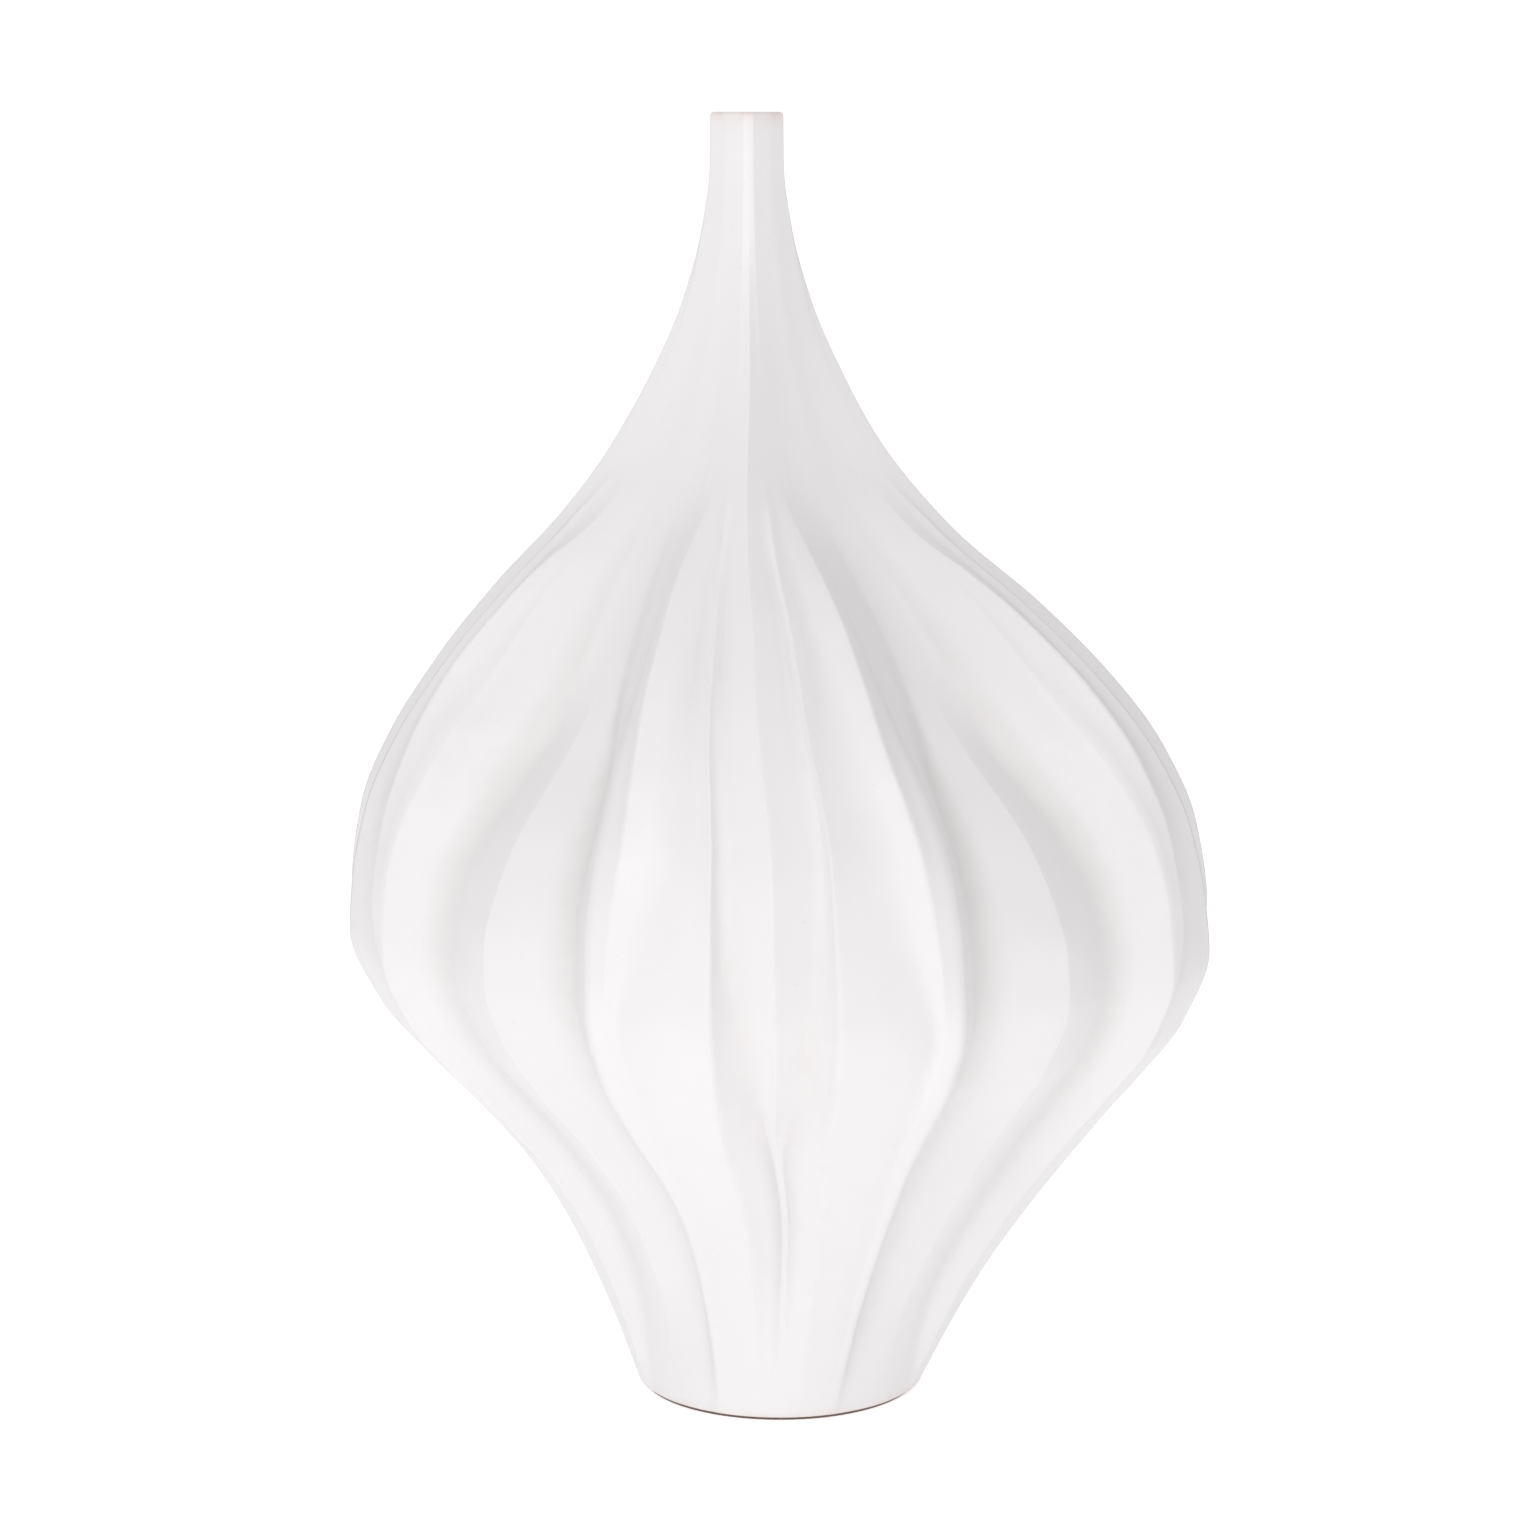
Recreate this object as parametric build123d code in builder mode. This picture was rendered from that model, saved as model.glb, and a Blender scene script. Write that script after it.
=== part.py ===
from build123d import *
import os
from bisect import bisect_right
from math import cos, radians, sin

# Ceramic bud vase: a tall hollow bulb of folded leaves on a round foot, with a square neck.
# Millimetres, +Z up, origin at the middle of the felt under the foot, front towards -Y.

# ---- driving dimensions ----
HEIGHT = 356.0  # floor to rim
FELT_THICKNESS = 1.0
FOOT_RADIUS = 39.8
FELT_RADIUS = FOOT_RADIUS - 1.1
BASE_THICKNESS = 8.0
MOUTH_RADIUS = 5.5  # the bore that a stem goes into
MOUTH_DEPTH = 29.0  # straight part of the bore
WALL = 4.2  # clay between the cavity and the nearest valley

# Outline: (height, radius) of the outermost line round the body.
OUTLINE = [
    (0, FOOT_RADIUS), (20, 48.6), (40, 58.8), (60, 71.5), (80, 87.8), (95, 101.6), (110, 113.3), (130, 120.7),
    (145, 119.7), (165, 116.2), (185, 107.3), (205, 93.4), (225, 75.3), (245, 54.1), (265, 38.0), (285, 26.6),
    (305, 17.8), (325, 12.3), (342, 10.1), (HEIGHT, 9.9),
]
# The thrown shape leans: the middle of the section wanders in X, and its plane tips and turns a little.
CENTRE_X = [(0, 0), (30, 2.0), (65, 3.6), (95, 1.7), (130, 0), (190, -1.0), (220, -3.7), (245, -7.4), (275, -9.1),
            (HEIGHT, -9.1)]
TIP = [(0, 0), (15, 0), (60, 0.02), (230, 0.02), (300, 0), (HEIGHT, 0)]  # rise lost per millimetre towards +X
TURN = [(0, -1.5), (80, -2.2), (130, -0.8), (170, -1.0), (205, -2.6), (245, -1.5), (290, 2), (HEIGHT, 3)]  # degrees

# The relief repeats every 90 degrees and mirrors about each corner of the neck. From a corner to the next face
# middle it has these lines, crests and valleys by turns. Each has its azimuth in degrees from the corner, and
# its radius as a share of the outline, both by height.
LINES = {
    "corner_crest": (
        [(0, 0), (HEIGHT, 0)],
        [(0, 1), (15, 0.985), (30, 0.955), (60, 0.91), (84, 0.893), (97, 0.908), (110, 0.935), (127, 0.973),
         (145, 1), (165, 1), (HEIGHT, 1)],
    ),
    "corner_valley": (
        [(0, 2), (60, 1.2), (84, 1.3), (97, 2.4), (110, 3.8), (127, 5), (145, 6.1), (165, 6.5), (225, 6.5),
         (262, 5), (HEIGHT, 5)],
        [(0, 1), (15, 0.985), (30, 0.955), (60, 0.91), (84, 0.888), (97, 0.885), (110, 0.898), (127, 0.926),
         (150, 0.945), (185, 0.95), (205, 0.948), (225, 0.94), (245, 0.93), (262, 0.91), (300, 0.93),
         (330, 0.998), (HEIGHT, 0.998)],
    ),
    "inner_crest": (
        [(0, 7.6), (245, 7.6), (262, 8), (HEIGHT, 8)],
        [(0, 1), (60, 0.993), (95, 0.987), (115, 0.99), (130, 0.995), (145, 0.993), (165, 0.986), (185, 0.981),
         (205, 0.972), (225, 0.957), (245, 0.93), (262, 0.865), (300, 0.9), (330, 0.99), (HEIGHT, 0.99)],
    ),
    "inner_valley": (
        [(0, 15), (95, 17.5), (110, 18.6), (125, 19.8), (135, 18.6), (150, 15.8), (170, 13.3), (205, 11.4),
         (240, 11), (262, 10.5), (HEIGHT, 10.5)],
        [(0, 1), (30, 0.975), (60, 0.962), (95, 0.956), (120, 0.951), (140, 0.95), (165, 0.944), (185, 0.94),
         (225, 0.922), (245, 0.89), (262, 0.825), (300, 0.87), (330, 0.982), (HEIGHT, 0.982)],
    ),
    "upper_crest": (
        [(0, 19.5), (95, 20.4), (110, 21), (125, 21.6), (150, 21), (175, 19.9), (200, 18.9), (240, 19),
         (250, 17), (262, 13.5), (HEIGHT, 14)],
        [(0, 1), (30, 0.966), (60, 0.952), (95, 0.95), (120, 0.955), (145, 0.98), (165, 0.976), (205, 0.985),
         (225, 0.962), (240, 0.91), (250, 0.85), (262, 0.785), (300, 0.84), (330, 0.965), (HEIGHT, 0.965)],
    ),
    "lower_crest": (
        [(0, 23), (70, 23), (95, 23.8), (125, 24.4), (180, 24.2), (200, 23.8), (225, 23), (262, 22),
         (HEIGHT, 22)],
        [(0, 1), (30, 0.966), (60, 0.955), (95, 0.962), (125, 0.97), (150, 0.97), (180, 0.94), (197, 0.9),
         (212, 0.87), (225, 0.81), (240, 0.76), (262, 0.715), (300, 0.78), (330, 0.9), (HEIGHT, 0.9)],
    ),
    "deep_valley": (
        [(0, 27.5), (70, 27.5), (86, 28), (112, 29.6), (130, 30.3), (160, 31.2), (180, 32.5), (200, 35),
         (215, 36), (HEIGHT, 35)],
        [(0, 1), (15, 0.91), (33, 0.842), (49, 0.82), (81, 0.815), (97, 0.826), (113, 0.842), (130, 0.852),
         (150, 0.832), (165, 0.78), (178, 0.722), (189, 0.68), (205, 0.66), (262, 0.668), (300, 0.735),
         (330, 0.84), (HEIGHT, 0.84)],
    ),
    "face_crest": (
        [(0, 45), (HEIGHT, 45)],
        [(0, 1), (15, 0.92), (33, 0.868), (65, 0.86), (97, 0.875), (127, 0.898), (141, 0.898), (153, 0.872),
         (166, 0.828), (178, 0.77), (189, 0.712), (200, 0.675), (212, 0.66), (262, 0.66), (300, 0.722),
         (330, 0.83), (HEIGHT, 0.83)],
    ),
}
SECTION_HEIGHTS = [FELT_THICKNESS, 15, 33, 50, 66, 81, 96, 111, 126, 140, 153, 166, 178, 189, 201, 213, 226, 240,
                   251, 262, 280, 300, 318, 334, HEIGHT]
CAVITY_HEIGHTS = [FELT_THICKNESS + BASE_THICKNESS, 30, 60, 90, 115, 140, 165, 190, 213, 240, 265, 290, 315, 330]


def at(stations, height):
    """The value at a height of a smooth curve through (height, value) stations."""
    last = len(stations) - 1
    i = min(max(bisect_right([h for h, _ in stations], height) - 1, 0), last - 1)

    def slope(j):
        """Tangent at a station: level at a turning point, otherwise the gentler of its two sides, blended."""
        if j in (0, last):
            j0 = min(j, last - 1)
            return (stations[j0 + 1][1] - stations[j0][1]) / (stations[j0 + 1][0] - stations[j0][0])
        before = (stations[j][1] - stations[j - 1][1]) / (stations[j][0] - stations[j - 1][0])
        after = (stations[j + 1][1] - stations[j][1]) / (stations[j + 1][0] - stations[j][0])
        return 0 if before * after <= 0 else 2 * before * after / (before + after)

    (h0, v0), (h1, v1) = stations[i], stations[i + 1]
    span = h1 - h0
    t = (height - h0) / span
    return (
        v0 * (1 + 2 * t) * (1 - t) ** 2
        + slope(i) * span * t * (1 - t) ** 2
        + v1 * t * t * (3 - 2 * t)
        - slope(i + 1) * span * t * t * (1 - t)
    )


def section_plane(height):
    """The tipped and turned plane that holds the section at a height, with X towards the right-hand corner."""
    tip = at(TIP, height)
    plane = Plane(origin=(at(CENTRE_X, height), 0, height), x_dir=(1, 0, -tip), z_dir=(tip, 0, 1))
    return plane.rotated((0, 0, at(TURN, height)))


def line_points(height):
    """One point on every crest and valley line, anticlockwise round the section."""
    outline = at(OUTLINE, height)
    octant = [(at(azimuth, height), outline * at(share, height)) for azimuth, share in LINES.values()]
    quarter = octant + [(90 - azimuth, radius) for azimuth, radius in octant[-2:0:-1]]
    ring = [(90 * corner + azimuth, radius) for corner in range(4) for azimuth, radius in quarter]
    return [(radius * cos(radians(azimuth)), radius * sin(radians(azimuth))) for azimuth, radius in ring]


def cavity_points(height):
    """Eight points round the cavity: a softened copy of the body, one wall inside its valleys."""
    outline = at(OUTLINE, height)
    deep_azimuth = at(LINES["deep_valley"][0], height)
    face = outline * min(at(LINES["deep_valley"][1], height), at(LINES["face_crest"][1], height)) - WALL
    corner = min(outline * at(LINES["corner_valley"][1], height) - WALL, face * (1 + (deep_azimuth - 22) / 75))
    radii = [max(corner, MOUTH_RADIUS - 0.5), max(face, MOUTH_RADIUS - 0.5)] * 4
    return [(r * cos(radians(45 * i)), r * sin(radians(45 * i))) for i, r in enumerate(radii)]


# ---- vase_body: the slip-cast shell, one piece of clay ----
with BuildPart() as vase_body:
    for height in SECTION_HEIGHTS:
        with BuildSketch(section_plane(height)):
            with BuildLine():
                Polyline(*line_points(height), close=True)
            make_face()
    loft()
    # The cavity follows the outside, softened, from above the base to the bottom of the neck.
    for height in CAVITY_HEIGHTS:
        with BuildSketch(section_plane(height)):
            with BuildLine():
                Spline(*cavity_points(height), periodic=True)
            make_face()
    loft(mode=Mode.SUBTRACT)
    # The straight round bore down the middle of the neck.
    with BuildSketch(Plane.XY.offset(HEIGHT)):
        with Locations((at(CENTRE_X, HEIGHT), 0)):
            Circle(MOUTH_RADIUS)
    extrude(amount=-MOUTH_DEPTH, mode=Mode.SUBTRACT)
vase_body.part.label = "vase_body"

# ---- base_felt: the thin felt disc glued under the foot ----
with BuildPart() as base_felt:
    with BuildSketch():
        Circle(FELT_RADIUS)
    extrude(amount=FELT_THICKNESS)
base_felt.part.label = "base_felt"

os.makedirs("parts", exist_ok=True)
for piece in (vase_body, base_felt):
    export_step(piece.part, f"parts/{piece.part.label}.step")
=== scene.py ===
from bisect import bisect_right
from math import atan2, cos, exp, pi, radians, sin, tau
import bmesh
import bpy
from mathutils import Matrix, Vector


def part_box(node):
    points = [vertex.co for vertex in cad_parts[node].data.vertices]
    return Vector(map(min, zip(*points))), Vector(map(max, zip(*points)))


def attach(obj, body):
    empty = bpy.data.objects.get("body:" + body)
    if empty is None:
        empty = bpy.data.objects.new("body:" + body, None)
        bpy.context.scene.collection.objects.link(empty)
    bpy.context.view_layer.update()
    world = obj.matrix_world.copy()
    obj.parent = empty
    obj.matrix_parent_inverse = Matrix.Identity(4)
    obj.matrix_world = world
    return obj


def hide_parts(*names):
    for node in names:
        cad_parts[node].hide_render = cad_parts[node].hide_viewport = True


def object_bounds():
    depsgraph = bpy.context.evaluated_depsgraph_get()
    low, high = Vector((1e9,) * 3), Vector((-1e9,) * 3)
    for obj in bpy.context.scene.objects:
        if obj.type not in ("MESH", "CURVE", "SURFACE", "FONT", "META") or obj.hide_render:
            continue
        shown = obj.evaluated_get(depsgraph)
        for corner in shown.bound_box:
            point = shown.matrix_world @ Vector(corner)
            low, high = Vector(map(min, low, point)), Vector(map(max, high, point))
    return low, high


# Ceramic bud vase: one cast and glazed shell standing on a felt disc. Metres, +Z up, origin at the middle of
# the felt's underside, front towards -Y.
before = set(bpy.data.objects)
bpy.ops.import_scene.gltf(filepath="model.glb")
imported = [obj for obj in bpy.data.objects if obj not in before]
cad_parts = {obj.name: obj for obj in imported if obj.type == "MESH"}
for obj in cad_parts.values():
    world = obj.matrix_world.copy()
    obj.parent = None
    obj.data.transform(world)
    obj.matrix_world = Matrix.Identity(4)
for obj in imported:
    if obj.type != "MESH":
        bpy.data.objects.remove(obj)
cad_box = [list(corner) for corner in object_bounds()]

# ---- vase_body ----
# One hollow casting of white clay, poured in a four-part mould, so its leaf relief repeats every quarter
# turn. It is dipped in a satin-matte white glaze, which thins to warm clay on the sharp ridges. Its valleys
# are coloured a little darker, as painted shade.
MM = 0.001
MERGE_DISTANCE = MM / 10000
HEIGHT = 356.0  # floor to rim, and all the sizes of this piece, in millimetres
FELT_THICKNESS = 1.0
FOOT_RADIUS = 39.8
BASE_THICKNESS = 8.0
MOUTH_RADIUS = 5.5  # the bore that a stem goes into
MOUTH_DEPTH = 29.0  # straight part of the bore
WALL = 4.2  # clay between the cavity and the nearest valley
FOOT_EDGE = 0.8  # rounding where the wall meets the underside
RIM_EDGE = 1.1
MOUTH_EDGE = 0.9
CAVITY_FILLET = 7.0  # rounding at the bottom of the cavity
# Outline: (height, radius) of the outermost line round the body.
OUTLINE = [
    (0, FOOT_RADIUS), (20, 48.6), (40, 58.8), (60, 71.5), (80, 87.8), (95, 101.6), (110, 113.3), (130, 120.4),
    (145, 119.5), (165, 116.1), (185, 107.3), (205, 93.4), (225, 75.3), (245, 54.1), (265, 38.0), (285, 26.6),
    (305, 17.8), (325, 12.3), (342, 10.1), (HEIGHT, 9.9),
]
# The casting leans a little: its middle wanders in X, and its sections tip and turn.
CENTRE_X = [
    (0, 0), (30, 2.0), (65, 3.6), (95, 1.7), (130, 0), (190, -1.0), (220, -3.7), (245, -7.4),
    (275, -9.1), (HEIGHT, -9.1),
]
TIP = [(0, 0), (15, 0), (60, 0.02), (230, 0.02), (300, 0), (HEIGHT, 0)]
TURN = [(0, -1.5), (80, -2.2), (130, -0.8), (170, -1.0), (205, -2.6), (245, -1.5), (290, 2), (HEIGHT, 3)]
# The relief's lines from a corner of the neck to the next face middle. Each has its azimuth in degrees
# from the corner, and its radius as a share of the outline, both by height.
LINES = {
    "corner_crest": (
        [(0, 0), (HEIGHT, 0)],
        [(0, 1), (15, 0.985), (30, 0.955), (60, 0.91), (84, 0.893), (97, 0.908), (110, 0.935), (127, 0.973),
         (145, 1), (165, 1), (HEIGHT, 1)],
    ),
    "corner_valley": (
        [(0, 2), (60, 1.2), (84, 1.3), (97, 2.4), (110, 3.8), (127, 5), (145, 6.1), (165, 6.5), (225, 6.5),
         (262, 5), (HEIGHT, 5)],
        [(0, 1), (15, 0.985), (30, 0.955), (60, 0.91), (84, 0.888), (97, 0.885), (110, 0.898), (127, 0.926),
         (150, 0.945), (185, 0.95), (205, 0.948), (225, 0.94), (245, 0.93), (262, 0.91), (300, 0.93),
         (330, 0.998), (HEIGHT, 0.998)],
    ),
    "inner_crest": (
        [(0, 7.6), (245, 7.6), (262, 8), (HEIGHT, 8)],
        [(0, 1), (60, 0.993), (95, 0.987), (115, 0.99), (130, 0.995), (145, 0.993), (165, 0.986),
         (185, 0.981), (205, 0.972), (225, 0.957), (245, 0.93), (262, 0.865), (300, 0.9), (330, 0.99),
         (HEIGHT, 0.99)],
    ),
    "inner_valley": (
        [(0, 15), (95, 17.5), (110, 18.6), (125, 19.8), (135, 18.6), (150, 15.8), (170, 13.3), (205, 11.4),
         (240, 11), (262, 10.5), (HEIGHT, 10.5)],
        [(0, 1), (30, 0.975), (60, 0.962), (95, 0.956), (120, 0.951), (140, 0.95), (165, 0.944), (185, 0.94),
         (225, 0.922), (245, 0.89), (262, 0.825), (300, 0.87), (330, 0.982), (HEIGHT, 0.982)],
    ),
    "upper_crest": (
        [(0, 19.5), (95, 20.4), (110, 21), (125, 21.6), (150, 21), (175, 19.9), (200, 18.9), (240, 19),
         (250, 17), (262, 13.5), (HEIGHT, 14)],
        [(0, 1), (30, 0.966), (60, 0.952), (95, 0.95), (120, 0.955), (145, 0.98), (165, 0.976), (205, 0.985),
         (225, 0.962), (240, 0.91), (250, 0.85), (262, 0.785), (300, 0.84), (330, 0.965), (HEIGHT, 0.965)],
    ),
    "lower_crest": (
        [(0, 23), (70, 23), (95, 23.8), (125, 24.4), (180, 24.2), (200, 23.8), (225, 23), (262, 22),
         (HEIGHT, 22)],
        [(0, 1), (30, 0.966), (60, 0.955), (95, 0.962), (125, 0.97), (150, 0.969), (165, 0.955),
         (180, 0.93), (197, 0.895), (212, 0.87), (225, 0.81), (240, 0.76), (262, 0.715), (300, 0.78),
         (330, 0.9), (HEIGHT, 0.9)],
    ),
    "deep_valley": (
        [(0, 27.5), (70, 27.5), (86, 28), (112, 29.6), (130, 30.3), (160, 31.2), (180, 32.5), (200, 35),
         (215, 36), (HEIGHT, 35)],
        [(0, 1), (15, 0.91), (33, 0.842), (49, 0.82), (81, 0.815), (97, 0.826), (113, 0.842), (130, 0.852),
         (150, 0.832), (165, 0.78), (178, 0.722), (189, 0.68), (205, 0.66), (262, 0.668), (300, 0.735),
         (330, 0.84), (HEIGHT, 0.84)],
    ),
    "face_crest": (
        [(0, 45), (HEIGHT, 45)],
        [(0, 1), (15, 0.92), (33, 0.868), (65, 0.86), (97, 0.875), (127, 0.898), (141, 0.898), (153, 0.872),
         (166, 0.828), (178, 0.77), (189, 0.712), (200, 0.675), (212, 0.66), (262, 0.66), (300, 0.722),
         (330, 0.83), (HEIGHT, 0.83)],
    ),
}
# Between two lines the wall is a flank: its number of columns, which of its ends the columns gather at,
# and how much it hollows towards the other end (1 is straight).
FLANKS = [
    (6, "first", 1.1), (4, "last", 1.1), (5, "first", 1.1), (5, "last", 1.1), (4, "first", 1.3),
    (7, "first", 1.05), (12, "last", 1.05),
]
COLUMNS = 8 * sum(columns for columns, gather, hollow in FLANKS)
GATHER = 1.65  # how strongly the columns gather at a flank's end
WALL_ROWS, CAVITY_ROWS, BORE_ROWS, MOUTH_ROWS = 190, 26, 6, 3
UNDERSIDE_RINGS = (0, 13, 26, 35)  # radii
CAVITY_FLOOR_RINGS = (20, 10, 0)
GLAZE_PASSES = 4  # each fills the valleys a little and leaves the ridges sharp
SWEEP_FOOT, SWEEP_TOP = 190, 214  # heights between which the leaves' lower folds become one hollow sweep
SWEEP_HOLLOW = 2.3
FADE_FOOT, FADE_TOP = 236, 264  # heights between which the leaves fade into the plain sides of the neck
NECK_HOLLOW = 2.5
LOBE_START, LOBE_SPAN = 22, 75  # degrees: how far the cavity's lobes may reach into the corners
CREST_RELIEF = 1.2  # a column this far out from its neighbours is a full crest
HOLLOW_START, HOLLOW_RELIEF = 0.3, 1.5  # the same for a valley, and where it starts
RIM_BARE, FOOT_BARE = 2.2, 0.7  # how far the clay shows through below the rim and above the foot


def at(stations, height):
    """The value at a height of a smooth curve through (height, value) stations."""
    last = len(stations) - 1
    i = min(max(bisect_right([h for h, _ in stations], height) - 1, 0), last - 1)

    def slope(j):
        """Tangent at a station: level at a turning point, otherwise the gentler of its two sides, blended."""
        if j in (0, last):
            j0 = min(j, last - 1)
            return (stations[j0 + 1][1] - stations[j0][1]) / (stations[j0 + 1][0] - stations[j0][0])
        before = (stations[j][1] - stations[j - 1][1]) / (stations[j][0] - stations[j - 1][0])
        after = (stations[j + 1][1] - stations[j][1]) / (stations[j + 1][0] - stations[j][0])
        return 0 if before * after <= 0 else 2 * before * after / (before + after)

    (h0, v0), (h1, v1) = stations[i], stations[i + 1]
    span = h1 - h0
    t = (height - h0) / span
    return (
        v0 * (1 + 2 * t) * (1 - t) ** 2
        + slope(i) * span * t * (1 - t) ** 2
        + v1 * t * t * (3 - 2 * t)
        - slope(i + 1) * span * t * t * (1 - t)
    )


def flank(line, next_line, columns, gather, hollow):
    """Azimuth and radius of a flank's columns, from one line up to just before the next."""
    for column in range(columns):
        t = column / columns
        along = t ** GATHER if gather == "first" else 1 - (1 - t) ** GATHER
        fall = 1 - (1 - along) ** hollow if gather == "first" else along ** hollow
        yield line[0] + (next_line[0] - line[0]) * along, line[1] + (next_line[1] - line[1]) * fall


def quarters(octant):
    """An octant's (azimuth, radius) pairs, both ends given, mirrored and repeated all the way round."""
    quarter = octant + [(90 - azimuth, radius) for azimuth, radius in octant[-2:0:-1]]
    return [(90 * corner + azimuth, radius) for corner in range(4) for azimuth, radius in quarter]


def outside(height):
    """The outer wall's ring of (azimuth, radius) columns at a height, with some glaze in its valleys."""
    outline = at(OUTLINE, height)
    lines = [(at(azimuth, height), outline * at(share, height)) for azimuth, share in LINES.values()]
    octant = []
    for line, next_line, (columns, gather, hollow) in zip(lines, lines[1:], FLANKS):
        octant += flank(line, next_line, columns, gather, hollow)
    octant.append(lines[-1])
    # Above the leaves one hollow sweep runs from the upper crest to the face middle. Then no line is left.
    sweeping = min(max((height - SWEEP_FOOT) / (SWEEP_TOP - SWEEP_FOOT), 0), 1)
    fading = min(max((height - FADE_FOOT) / (FADE_TOP - FADE_FOOT), 0), 1)
    (root_azimuth, root_radius), (edge_azimuth, edge_radius) = lines[2], lines[4]
    face_azimuth, face_radius = lines[-1]
    for column, (azimuth, radius) in enumerate(octant):
        smooth = at(lines, azimuth)
        if azimuth > root_azimuth:
            left = (face_azimuth - azimuth) / (face_azimuth - root_azimuth)
            smooth = face_radius + (root_radius - face_radius) * left ** NECK_HOLLOW
        if azimuth > edge_azimuth:
            left = (face_azimuth - azimuth) / (face_azimuth - edge_azimuth)
            sweep = face_radius + (edge_radius - face_radius) * left ** SWEEP_HOLLOW
            radius += (sweep - radius) * sweeping
        octant[column] = azimuth, radius + (smooth - radius) * fading
    ring = quarters(octant)
    radii = [radius for azimuth, radius in ring]
    for _ in range(GLAZE_PASSES):
        pooled = [(radii[i - 1] + 2 * radii[i] + radii[(i + 1) % COLUMNS]) / 4 for i in range(COLUMNS)]
        radii = [radius + max(pool - radius, 0) * (1 - sweeping) for radius, pool in zip(radii, pooled)]
    return [(azimuth, radius) for (azimuth, _), radius in zip(ring, radii)]


def inside(height):
    """The cavity's ring at a height: four soft lobes, one wall inside the valleys."""
    outline = at(OUTLINE, height)
    deep_azimuth = at(LINES["deep_valley"][0], height)
    face = outline * min(at(LINES["deep_valley"][1], height), at(LINES["face_crest"][1], height)) - WALL
    reach = face * (1 + (deep_azimuth - LOBE_START) / LOBE_SPAN)
    corner = max(min(outline * at(LINES["corner_valley"][1], height) - WALL, reach), MOUTH_RADIUS)
    face = max(face, MOUTH_RADIUS)
    middle, lobe = (corner + face) / 2, (corner - face) / 2
    azimuths = [azimuth for azimuth, radius in outside(height)]
    return [(azimuth, middle + lobe * cos(radians(4 * azimuth))) for azimuth in azimuths]


def arc(steps):
    """The quarter-turn angles of an edge rounding, without its first."""
    return [pi / 2 * step / steps for step in range(1, steps + 1)]


# Each row of the wall: (height, ring function, inset, roundness, radius where it is round).
rows = [(FELT_THICKNESS, outside, 0, 1, radius) for radius in UNDERSIDE_RINGS]
rows += [(FELT_THICKNESS, outside, 0, 1, FOOT_RADIUS - FOOT_EDGE)]
rows += [(FELT_THICKNESS + FOOT_EDGE * (1 - cos(a)), outside, FOOT_EDGE * (1 - sin(a)), 0, 0)
         for a in arc(4)]
wall_foot, wall_top = FELT_THICKNESS + FOOT_EDGE, HEIGHT - RIM_EDGE
rows += [(wall_foot + (wall_top - wall_foot) * i / WALL_ROWS, outside, 0, 0, 0)
         for i in range(1, WALL_ROWS + 1)]
rows += [(wall_top + RIM_EDGE * sin(a), outside, RIM_EDGE * (1 - cos(a)), 0, 0) for a in arc(5)]
rows += [(HEIGHT, outside, RIM_EDGE, i / MOUTH_ROWS, MOUTH_RADIUS + MOUTH_EDGE)
         for i in range(1, MOUTH_ROWS + 1)]
rows += [(HEIGHT - MOUTH_EDGE * (1 - cos(a)), outside, 0, 1, MOUTH_RADIUS + MOUTH_EDGE * (1 - sin(a)))
         for a in arc(4)]
bore_foot = HEIGHT - MOUTH_DEPTH
bore_top = HEIGHT - MOUTH_EDGE
rows += [(bore_top + (bore_foot - bore_top) * i / BORE_ROWS, outside, 0, 1, MOUTH_RADIUS)
         for i in range(1, BORE_ROWS + 1)]
floor_top = FELT_THICKNESS + BASE_THICKNESS
cavity_foot = floor_top + CAVITY_FILLET
rows += [(bore_foot + (cavity_foot - bore_foot) * i / CAVITY_ROWS, inside, 0, 0, 0)
         for i in range(1, CAVITY_ROWS + 1)]
rows += [(cavity_foot - CAVITY_FILLET * sin(a), inside, CAVITY_FILLET * (1 - cos(a)), 0, 0) for a in arc(5)]
rows += [(floor_top, inside, 0, 1, radius) for radius in CAVITY_FLOOR_RINGS]

# The wall starts as a straight-sided shell of revolution. Each vertex is then moved to its column and row.
shell = bmesh.new()
row_of = shell.verts.layers.int.new("row")
path = []
for number, (height, ring, inset, roundness, round_radius) in enumerate(rows):
    start_radius = round_radius if roundness == 1 else at(OUTLINE, height) - inset
    vertex = shell.verts.new((start_radius * MM, 0, height * MM))
    vertex[row_of] = number
    path.append(vertex)
edges = [shell.edges.new(pair) for pair in zip(path, path[1:])]
bmesh.ops.spin(
    shell, geom=path + edges, cent=(0, 0, 0), axis=(0, 0, 1), angle=tau, steps=COLUMNS, use_merge=True
)
bmesh.ops.remove_doubles(shell, verts=shell.verts, dist=MERGE_DISTANCE)
crest_of = shell.verts.layers.float.new("crest")
painted_shade_of = shell.verts.layers.float.new("hollow")
bare_of = shell.verts.layers.float.new("bare")
rings = [ring(height) for height, ring, inset, roundness, round_radius in rows]
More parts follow.
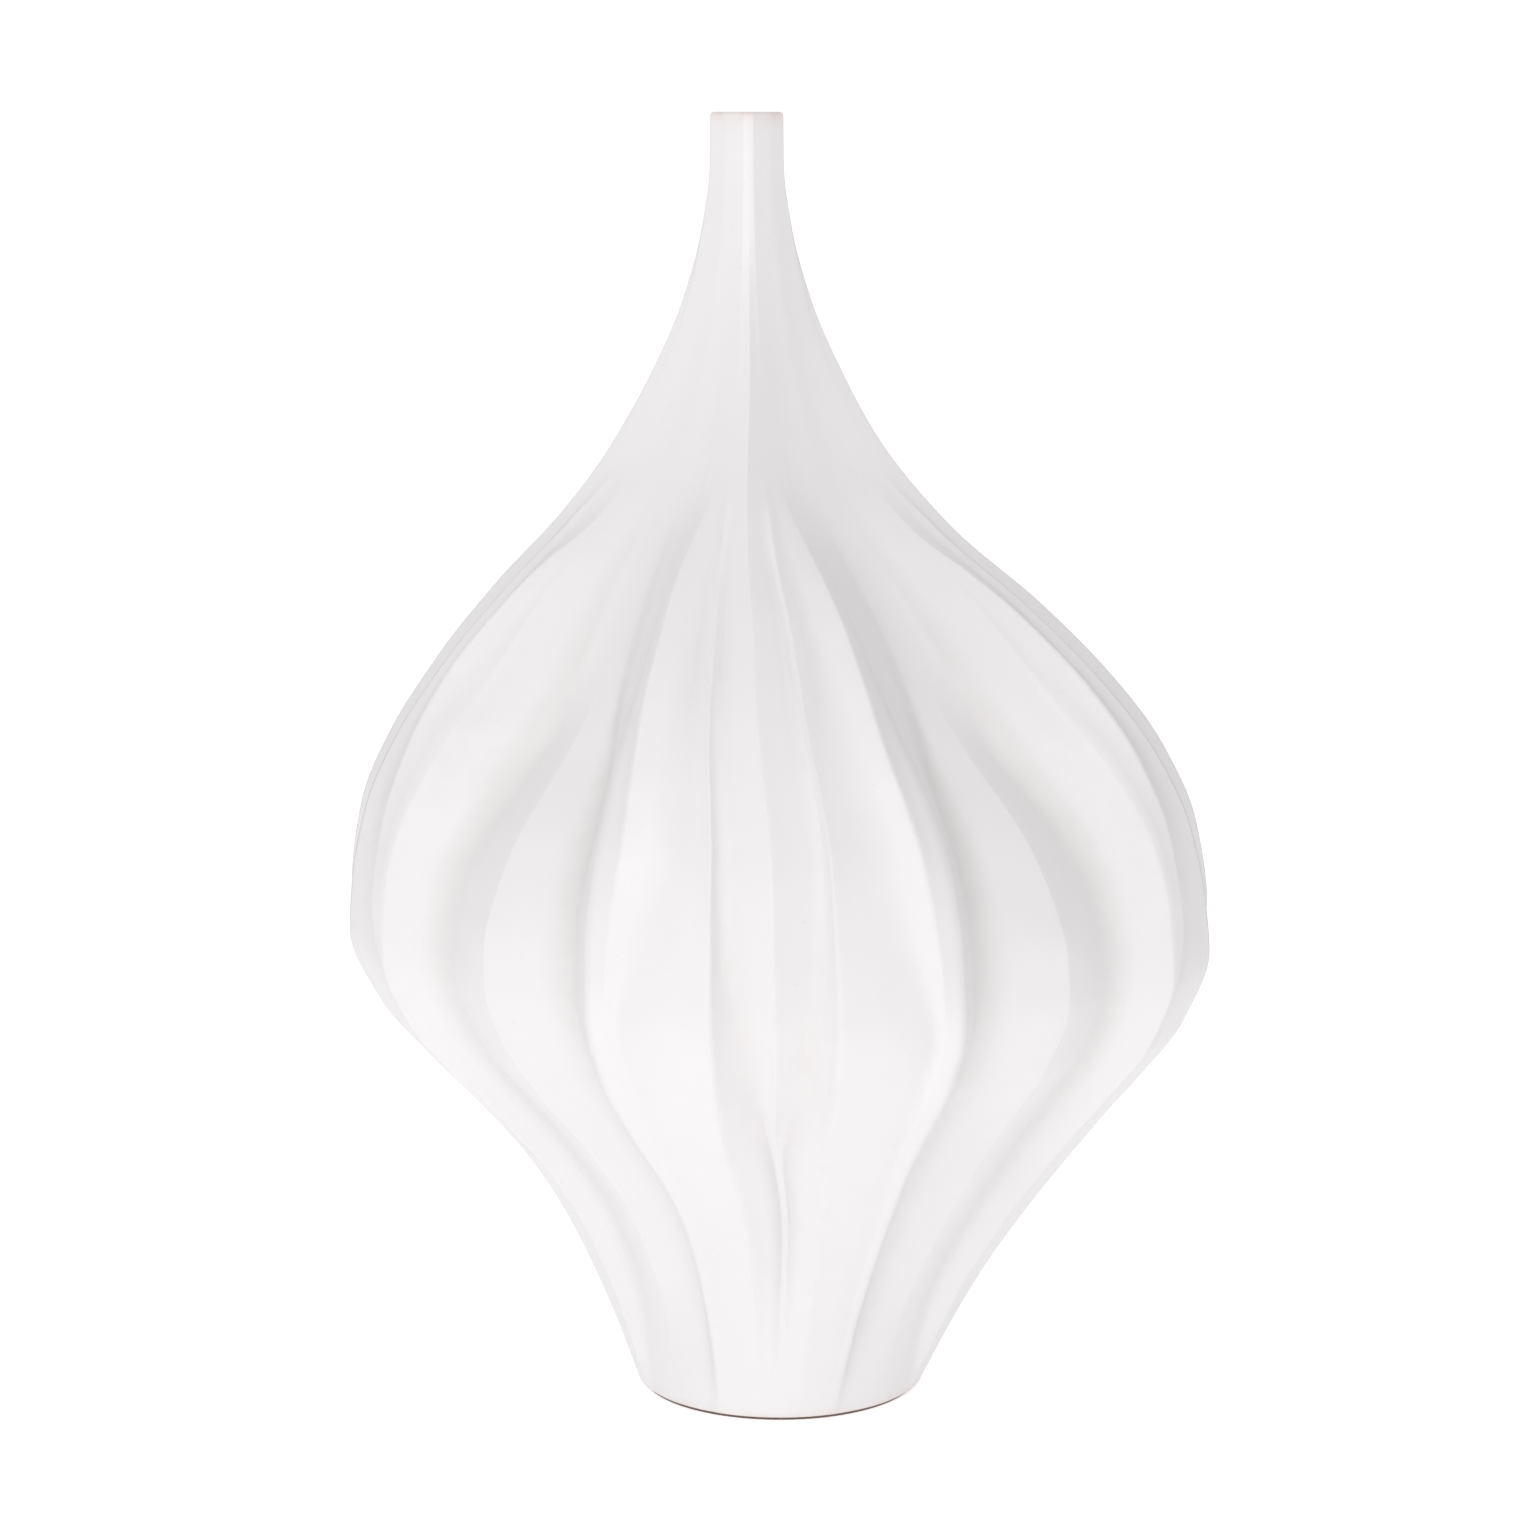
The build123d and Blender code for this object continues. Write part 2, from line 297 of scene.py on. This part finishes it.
for vertex in shell.verts:
    height, ring, inset, roundness, round_radius = rows[vertex[row_of]]
    columns = rings[vertex[row_of]]
    column = round(atan2(vertex.co.y, vertex.co.x) / tau * COLUMNS) % COLUMNS
    azimuth, radius = columns[column]
    shaped = (radius - inset) * (1 - roundness) + round_radius * roundness
    turned = radians(azimuth + at(TURN, height))
    x, y = shaped * cos(turned), shaped * sin(turned)
    vertex.co = ((at(CENTRE_X, height) + x) * MM, y * MM, (height - at(TIP, height) * x) * MM)
    if ring is outside and roundness == 0:
        beside = (columns[column - 2][1] + columns[(column + 2) % COLUMNS][1]) / 2
        vertex[crest_of] = min(max((radius - beside) / CREST_RELIEF, 0), 1)
        # How far a column sits below its neighbours: the mask of the painted shade in the valleys.
        vertex[painted_shade_of] = min(max((beside - radius - HOLLOW_START) / HOLLOW_RELIEF, 0), 1)
    rim = exp((height - HEIGHT) / RIM_BARE) if ring is outside else 0
    foot = exp((FELT_THICKNESS - height) / FOOT_BARE) if ring is outside else 0
    vertex[bare_of] = max(rim, foot)
bmesh.ops.recalc_face_normals(shell, faces=shell.faces)
mesh = bpy.data.meshes.new("vase_body_glazed")
shell.to_mesh(mesh)
shell.free()
mesh.shade_smooth()
vase_body = bpy.data.objects.new("vase_body_glazed", mesh)
bpy.context.collection.objects.link(vase_body)

GLAZE_THICK = (0.768, 0.75, 0.76)
GLAZE_THIN = (0.757, 0.739, 0.748)
GLAZE_ON_CREST = (0.69, 0.63, 0.59)
# Painted shade: a darker colour laid into the valleys.
PAINTED_SHADE_IN_HOLLOW = (0.69, 0.66, 0.655)
BARE_CLAY = (0.66, 0.52, 0.45)
CLAY_SPECK = (0.70, 0.62, 0.57)
GLAZE_IOR = 1.48
GLAZE_SATIN, GLAZE_MATTE = 0.42, 0.56  # roughness
GRAIN_STRENGTH, GRAIN_HEIGHT = 0.25, 0.06 * MM
glaze = bpy.data.materials.new("white_satin_glaze")
glaze.use_nodes = True
nodes, links = glaze.node_tree.nodes, glaze.node_tree.links
surface = nodes["Principled BSDF"]
surface.inputs["IOR"].default_value = GLAZE_IOR
place = nodes.new("ShaderNodeTexCoord")


def noise(scale, detail, roughness):
    """A noise texture over the piece's own place, scale in features per metre."""
    texture = nodes.new("ShaderNodeTexNoise")
    texture.inputs["Scale"].default_value = scale
    texture.inputs["Detail"].default_value = detail
    texture.inputs["Roughness"].default_value = roughness
    links.new(place.outputs["Object"], texture.inputs["Vector"])
    return texture.outputs["Fac"]


def spread(value, low, high, to_low, to_high):
    """A value's range, clamped and moved to another range."""
    ranger = nodes.new("ShaderNodeMapRange")
    ranger.inputs["From Min"].default_value = low
    ranger.inputs["From Max"].default_value = high
    ranger.inputs["To Min"].default_value = to_low
    ranger.inputs["To Max"].default_value = to_high
    links.new(value, ranger.inputs["Value"])
    return ranger.outputs["Result"]


def times(value, other):
    """The product of two values."""
    product = nodes.new("ShaderNodeMath")
    product.operation = "MULTIPLY"
    links.new(value, product.inputs[0])
    links.new(other, product.inputs[1])
    return product.outputs["Value"]


def tint(colour, other, amount):
    """A colour, or a socket's colour, mixed towards another by an amount that changes over the surface."""
    mix = nodes.new("ShaderNodeMix")
    mix.data_type = "RGBA"
    if isinstance(colour, tuple):
        mix.inputs["A"].default_value = (*colour, 1)
    else:
        links.new(colour, mix.inputs["A"])
    mix.inputs["B"].default_value = (*other, 1)
    links.new(amount, mix.inputs["Factor"])
    return mix.outputs["Result"]


def painted(name):
    """A value that the mesh carries on its vertices."""
    attribute = nodes.new("ShaderNodeAttribute")
    attribute.attribute_name = name
    return attribute.outputs["Fac"]


pooling = noise(28, 2, 0.5)
patches = noise(140, 3, 0.6)
grain = noise(2600, 2, 0.5)
specks = noise(900, 1, 0.4)
colour = tint(GLAZE_THICK, GLAZE_THIN, spread(pooling, 0.35, 0.65, 0, 1))
colour = tint(colour, GLAZE_ON_CREST, times(painted("crest"), spread(patches, 0.42, 0.7, 0, 0.1)))
# Painted shade: the valleys are darkened in the colour.
colour = tint(colour, PAINTED_SHADE_IN_HOLLOW, times(painted("hollow"), spread(patches, 0.3, 0.7, 0.4, 0.6)))
colour = tint(colour, BARE_CLAY, times(painted("bare"), spread(patches, 0.3, 0.65, 0.1, 0.75)))
colour = tint(colour, CLAY_SPECK, spread(specks, 0.76, 0.82, 0, 0.5))
links.new(colour, surface.inputs["Base Color"])
links.new(spread(patches, 0.3, 0.7, GLAZE_SATIN, GLAZE_MATTE), surface.inputs["Roughness"])
bump = nodes.new("ShaderNodeBump")
bump.inputs["Strength"].default_value = GRAIN_STRENGTH
bump.inputs["Distance"].default_value = GRAIN_HEIGHT
links.new(grain, bump.inputs["Height"])
links.new(bump.outputs["Normal"], surface.inputs["Normal"])
mesh.materials.append(glaze)
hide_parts("vase_body")
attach(vase_body, "root")

# ---- base_felt ----
# A disc of pressed brown felt, about a millimetre thick, die cut and glued under the foot so that the clay
# doesn't scratch the table. Its cut edge is slightly rounded and fibrous.
FELT_EDGE = 0.3 * MM
FELT_STEPS = 192
FELT_DARK = (0.075, 0.045, 0.035)
FELT_BROWN = (0.17, 0.11, 0.085)
FELT_LOOSE_FIBRE = (0.26, 0.18, 0.14)
NAP_STRENGTH, NAP_HEIGHT = 0.7, 0.25 * MM
felt_low, felt_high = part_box("base_felt")
felt_radius = felt_high.x
felt = bmesh.new()
edge_path = [(0, felt_low.z), (felt_radius / 2, felt_low.z), (felt_radius - FELT_EDGE, felt_low.z)]
edge_path += [(felt_radius - FELT_EDGE * (1 - sin(a)), felt_low.z + FELT_EDGE * (1 - cos(a)))
              for a in arc(3)]
edge_path += [(felt_radius - FELT_EDGE * (1 - cos(a)), felt_high.z - FELT_EDGE * (1 - sin(a)))
              for a in [0] + arc(3)]
edge_path += [(felt_radius / 2, felt_high.z), (0, felt_high.z)]
path = [felt.verts.new((radius, 0, height)) for radius, height in edge_path]
edges = [felt.edges.new(pair) for pair in zip(path, path[1:])]
bmesh.ops.spin(
    felt, geom=path + edges, cent=(0, 0, 0), axis=(0, 0, 1), angle=tau, steps=FELT_STEPS, use_merge=True
)
bmesh.ops.remove_doubles(felt, verts=felt.verts, dist=MERGE_DISTANCE)
bmesh.ops.recalc_face_normals(felt, faces=felt.faces)
mesh = bpy.data.meshes.new("base_felt_disc")
felt.to_mesh(mesh)
felt.free()
mesh.shade_smooth()
base_felt = bpy.data.objects.new("base_felt_disc", mesh)
bpy.context.collection.objects.link(base_felt)

pressed_felt = bpy.data.materials.new("pressed_brown_felt")
pressed_felt.use_nodes = True
nodes, links = pressed_felt.node_tree.nodes, pressed_felt.node_tree.links
surface = nodes["Principled BSDF"]
surface.inputs["Roughness"].default_value = 0.95
surface.inputs["Sheen Weight"].default_value = 0.4
surface.inputs["Sheen Roughness"].default_value = 0.6
place = nodes.new("ShaderNodeTexCoord")
fibres = noise(2200, 4, 0.7)
clumps = noise(350, 3, 0.6)
colour = tint(FELT_DARK, FELT_BROWN, spread(fibres, 0.3, 0.7, 0, 1))
colour = tint(colour, FELT_LOOSE_FIBRE, spread(clumps, 0.55, 0.8, 0, 0.6))
links.new(colour, surface.inputs["Base Color"])
bump = nodes.new("ShaderNodeBump")
bump.inputs["Strength"].default_value = NAP_STRENGTH
bump.inputs["Distance"].default_value = NAP_HEIGHT
links.new(fibres, bump.inputs["Height"])
links.new(bump.outputs["Normal"], surface.inputs["Normal"])
mesh.materials.append(pressed_felt)
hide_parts("base_felt")
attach(base_felt, "root")

# ---- floor ----
# The plain white table that the vase stands on, large enough to run out of sight. It glows a little, as a
# table inside a light tent does.
FLOOR_SIZE = 60
FLOOR_WHITE = (0.88, 0.88, 0.88, 1)
FLOOR_GLOW = 0.4  # light that the table throws back up
HORIZON_LIFT = 0.1  # brings the seen table up to the backdrop
table = bmesh.new()
bmesh.ops.create_grid(table, x_segments=1, y_segments=1, size=FLOOR_SIZE / 2)
mesh = bpy.data.meshes.new("floor")
table.to_mesh(mesh)
table.free()
floor = bpy.data.objects.new("floor", mesh)
bpy.context.collection.objects.link(floor)
white = bpy.data.materials.new("white_floor")
white.use_nodes = True
nodes, links = white.node_tree.nodes, white.node_tree.links
surface = nodes["Principled BSDF"]
surface.inputs["Base Color"].default_value = FLOOR_WHITE
surface.inputs["Roughness"].default_value = 0.9
surface.inputs["Specular IOR Level"].default_value = 0.1
surface.inputs["Emission Color"].default_value = (1, 1, 1, 1)
surface.inputs["Emission Strength"].default_value = FLOOR_GLOW
lift = nodes.new("ShaderNodeEmission")
lift.inputs["Strength"].default_value = HORIZON_LIFT
lifted = nodes.new("ShaderNodeAddShader")
links.new(surface.outputs["BSDF"], lifted.inputs[0])
links.new(lift.outputs["Emission"], lifted.inputs[1])
seen = nodes.new("ShaderNodeLightPath")
choose = nodes.new("ShaderNodeMixShader")
links.new(seen.outputs["Is Camera Ray"], choose.inputs["Fac"])
links.new(surface.outputs["BSDF"], choose.inputs[1])
links.new(lifted.outputs["Shader"], choose.inputs[2])
links.new(choose.outputs["Shader"], nodes["Material Output"].inputs["Surface"])
mesh.materials.append(white)

# ---- light ----
# A white tent with darker sides, the right one most, and one large soft key above and a little left of the
# front.
TENT_LEFT, TENT_MIDDLE, TENT_RIGHT = 0.52, 1.02, 0.44
BACKDROP = 1.05
world = bpy.data.worlds.new("tent")
world.use_nodes = True
nodes, links = world.node_tree.nodes, world.node_tree.links
tent = nodes["Background"]
tent.inputs["Color"].default_value = (1, 1, 1, 1)
direction = nodes.new("ShaderNodeTexCoord")
axes = nodes.new("ShaderNodeSeparateXYZ")
links.new(direction.outputs["Generated"], axes.inputs["Vector"])
left_fall = spread(axes.outputs["X"], -1, 0, TENT_LEFT / TENT_MIDDLE, 1)
right_fall = spread(axes.outputs["X"], 0, 1, TENT_MIDDLE, TENT_RIGHT)
links.new(times(left_fall, right_fall), tent.inputs["Strength"])
backdrop = nodes.new("ShaderNodeBackground")
backdrop.inputs["Color"].default_value = (1, 1, 1, 1)
backdrop.inputs["Strength"].default_value = BACKDROP
seen = nodes.new("ShaderNodeLightPath")
choose = nodes.new("ShaderNodeMixShader")
links.new(seen.outputs["Is Camera Ray"], choose.inputs["Fac"])
links.new(tent.outputs["Background"], choose.inputs[1])
links.new(backdrop.outputs["Background"], choose.inputs[2])
links.new(choose.outputs["Shader"], nodes["World Output"].inputs["Surface"])
bpy.context.scene.world = world

KEY_DISTANCE = 1.6
KEY_AZIMUTH = radians(-12)
KEY_HEIGHT = 0.85
KEY_TILT = radians(67)
KEY_SIZE = 0.9
KEY_WATTS = 7.0
key_data = bpy.data.lights.new("key", "AREA")
key_data.shape = "DISK"
key_data.size = KEY_SIZE
key_data.energy = KEY_WATTS
key = bpy.data.objects.new("key", key_data)
bpy.context.collection.objects.link(key)
key.location = (KEY_DISTANCE * sin(KEY_AZIMUTH), -KEY_DISTANCE * cos(KEY_AZIMUTH), KEY_HEIGHT)
key.rotation_euler = (KEY_TILT, 0, KEY_AZIMUTH)
bpy.context.scene.view_settings.view_transform = "Standard"

# ---- camera ----
# Level with the rim, three heights in front of the vase and tilted down a little. A long lens frames the
# vase with white all round it.
CAMERA_ASIDE, CAMERA_BACK = -0.0094, -2.99  # in heights of the vase
CAMERA_TILT = radians(80.4)
CAMERA_LENS, CAMERA_SENSOR = 90.94, 36
vase_height = cad_box[1][2]
camera_data = bpy.data.cameras.new("camera")
camera_data.sensor_width = CAMERA_SENSOR
camera_data.lens = CAMERA_LENS
camera = bpy.data.objects.new("camera", camera_data)
bpy.context.collection.objects.link(camera)
camera.location = (CAMERA_ASIDE * vase_height, CAMERA_BACK * vase_height, vase_height)
camera.rotation_euler = (CAMERA_TILT, 0, 0)
bpy.context.scene.camera = camera
